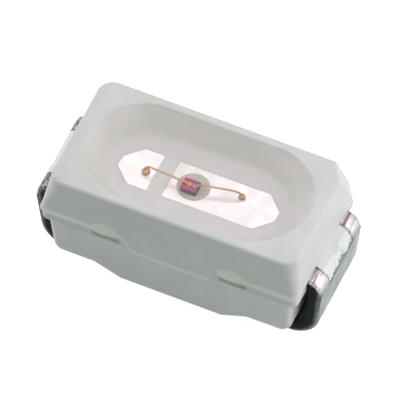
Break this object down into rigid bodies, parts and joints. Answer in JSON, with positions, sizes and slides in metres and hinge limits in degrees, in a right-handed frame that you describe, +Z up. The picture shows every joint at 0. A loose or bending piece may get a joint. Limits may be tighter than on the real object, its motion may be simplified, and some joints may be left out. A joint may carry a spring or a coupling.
{
  "type": "surface-mount light-emitting diode",
  "caption": "Oblong surface-mount light-emitting diode: white moulded reflector housing, folded leads at both ends, wire-bonded chip under clear resin.",
  "frame": {"origin": "middle of the outline, on the plane that the two solder feet rest on", "axes": "+X along the length, from the anode end to the cathode end; +Z up, out of the light-emitting face; the polarity cut is at the +X +Y top corner"},
  "size_m": [0.0032, 0.0016, 0.0014],
  "materials": {
    "housing_moulding": "white filled moulding compound, satin, with a fine moulded grain",
    "silver_plating": "bright silver plating on a copper-alloy strip",
    "die_attach_adhesive": "grey metal-filled adhesive, satin",
    "chip_crystal": "polished crystal with a violet sheen",
    "gold": "drawn gold wire and gold film, bright",
    "clear_resin": "clear cured silicone, smooth"
  },
  "bodies": {
    "root": {"housing": "housing_moulding", "anode_lead": "silver_plating", "cathode_lead": "silver_plating", "die_attach": "die_attach_adhesive", "led_chip": "chip_crystal", "anode_bond_pad": "gold", "cathode_bond_pad": "gold", "anode_wire": "gold", "cathode_wire": "gold", "encapsulant": "clear_resin"}
  },
  "joints": []
}
